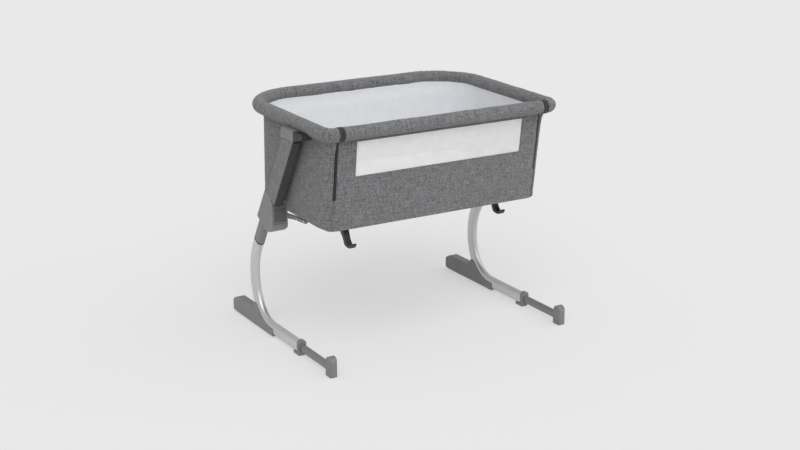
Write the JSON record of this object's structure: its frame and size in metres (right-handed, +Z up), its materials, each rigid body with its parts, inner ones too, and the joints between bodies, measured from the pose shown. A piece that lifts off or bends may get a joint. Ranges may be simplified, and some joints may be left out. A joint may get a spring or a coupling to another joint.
{
  "type": "bedside crib",
  "caption": "Fabric bedside crib on two bent legs with height slides, pull-out feet, a zipped drop-down mesh side and bed hooks.",
  "frame": {"origin": "on the floor under the middle of the crib's outer box", "axes": "+Z up, front with the drop side at -Y, length along X"},
  "size_m": [0.9262, 0.717, 0.79],
  "materials": {
    "grey_fabric": "heathered linen-look weave",
    "white_liner": "smooth white lining",
    "white_cover": "quilted white cover",
    "white_mesh": "fine off-white net",
    "black_webbing": "dark webbing and zip tape",
    "painted_steel": "grey powder coat",
    "grey_coated_tube": "satin grey powder coat",
    "satin_aluminium": "satin anodised",
    "grey_plastic": "moulded, fine texture",
    "dark_plastic": "moulded, fine texture",
    "black_plastic": "moulded",
    "board": "fibre board in a grey cover",
    "rubber_pads": "soft foot pads",
    "steel": "plated"
  },
  "bodies": {
    "basket": {"rim_tube": "painted_steel", "rim_padding": "grey_fabric", "rim_bands": "black_webbing", "rear_panel": "grey_fabric", "end_panel_left": "grey_fabric", "end_panel_right": "grey_fabric", "front_skirt": "grey_fabric", "fold_piping": "grey_fabric", "basket_liner": "white_liner", "base_board": "board", "lower_frame": "painted_steel", "hook_rails": "black_plastic", "housing_left": "grey_plastic", "housing_right": "grey_plastic", "guide_tube_left": "painted_steel", "guide_tube_right": "painted_steel", "leg_cover_left": "grey_fabric", "leg_cover_right": "grey_fabric", "rim_bracket_left": "black_plastic", "rim_bracket_right": "black_plastic", "zip_tracks": "black_webbing", "lever_pins": "steel", "frame_screws": "steel"},
    "leg_left": {"leg_tube_left": "satin_aluminium", "upper_tube_left": "grey_coated_tube", "joint_ring_left": "black_plastic", "heel_left": "grey_plastic", "foot_pads_left": "rubber_pads", "collar_left": "grey_plastic", "slide_bush_left": "black_plastic"},
    "foot_left": {"foot_tube_left": "grey_coated_tube", "toe_left": "grey_plastic"},
    "lever_left": {"height_lever_left": "dark_plastic"},
    "bolt_left": {"lock_bolt_left": "steel"},
    "button_left": {"latch_button_left": "dark_plastic"},
    "slider_left": {"zip_slider_left": "steel"},
    "bed_hook_left": {"hook_left": "black_plastic"},
    "leg_right": {"leg_tube_right": "satin_aluminium", "upper_tube_right": "grey_coated_tube", "joint_ring_right": "black_plastic", "heel_right": "grey_plastic", "foot_pads_right": "rubber_pads", "collar_right": "grey_plastic", "slide_bush_right": "black_plastic"},
    "foot_right": {"foot_tube_right": "grey_coated_tube", "toe_right": "grey_plastic"},
    "lever_right": {"height_lever_right": "dark_plastic"},
    "bolt_right": {"lock_bolt_right": "steel"},
    "button_right": {"latch_button_right": "dark_plastic"},
    "slider_right": {"zip_slider_right": "steel"},
    "bed_hook_right": {"hook_right": "black_plastic"},
    "drop_side": {"front_rail_tube": "painted_steel", "front_padding": "grey_fabric", "rail_bands": "black_webbing", "drop_panel": "grey_fabric", "window_mesh": "white_mesh", "window_hem": "grey_fabric", "drop_liner": "white_liner", "drop_zip_tracks": "black_webbing"},
    "mattress": {"mattress": "white_cover"}
  },
  "joints": [
    {"name": "leg_height_left", "type": "slide", "parent": "basket", "child": "leg_left", "axis": [0, -0.515, 0.8572], "range_m": [-0.03, 0.12]},
    {"name": "foot_slide_left", "type": "slide", "parent": "leg_left", "child": "foot_left", "axis": [0, 1, 0], "range_m": [0, 0.13]},
    {"name": "lever_squeeze_left", "type": "hinge", "parent": "basket", "child": "lever_left", "pos_m": [-0.4305, 0.0275, 0.462], "axis": [-1, 0, 0], "range_deg": [0, 15], "stiffness_Nm_per_rad": 0.6},
    {"name": "bolt_draw_left", "type": "slide", "parent": "basket", "child": "bolt_left", "axis": [1, 0, 0], "range_m": [0, 0.005]},
    {"name": "latch_press_left", "type": "slide", "parent": "drop_side", "child": "button_left", "axis": [0, 0, 1], "range_m": [0, 0.003], "stiffness_N_per_m": 400},
    {"name": "zip_run_left", "type": "slide", "parent": "basket", "child": "slider_left", "axis": [0, 0.1296, -0.9916], "range_m": [0, 0.15]},
    {"name": "hook_pull_left", "type": "slide", "parent": "basket", "child": "bed_hook_left", "axis": [0, 1, 0], "range_m": [-0.02, 0.08]},
    {"name": "leg_height_right", "type": "slide", "parent": "basket", "child": "leg_right", "axis": [0, -0.515, 0.8572], "range_m": [-0.03, 0.12]},
    {"name": "foot_slide_right", "type": "slide", "parent": "leg_right", "child": "foot_right", "axis": [0, 1, 0], "range_m": [0, 0.13]},
    {"name": "lever_squeeze_right", "type": "hinge", "parent": "basket", "child": "lever_right", "pos_m": [0.4305, 0.0275, 0.462], "axis": [-1, 0, 0], "range_deg": [0, 15], "stiffness_Nm_per_rad": 0.6},
    {"name": "bolt_draw_right", "type": "slide", "parent": "basket", "child": "bolt_right", "axis": [-1, 0, 0], "range_m": [0, 0.005]},
    {"name": "latch_press_right", "type": "slide", "parent": "drop_side", "child": "button_right", "axis": [0, 0, 1], "range_m": [0, 0.003], "stiffness_N_per_m": 400},
    {"name": "zip_run_right", "type": "slide", "parent": "basket", "child": "slider_right", "axis": [0, 0.1296, -0.9916], "range_m": [0, 0.15]},
    {"name": "hook_pull_right", "type": "slide", "parent": "basket", "child": "bed_hook_right", "axis": [0, 1, 0], "range_m": [-0.09, 0.01]},
    {"name": "side_fold", "type": "hinge", "parent": "basket", "child": "drop_side", "pos_m": [0, -0.25511, 0.535], "axis": [1, 0, 0], "range_deg": [0, 150]},
    {"name": "mattress_lift", "type": "slide", "parent": "basket", "child": "mattress", "axis": [0, 0, 1], "range_m": [0, 0.2]}
  ],
  "couplings": [
    {"joint": "bolt_draw_left", "follows": "lever_squeeze_left", "m_per_rad": 0.019099},
    {"joint": "bolt_draw_right", "follows": "lever_squeeze_right", "m_per_rad": 0.019099}
  ]
}
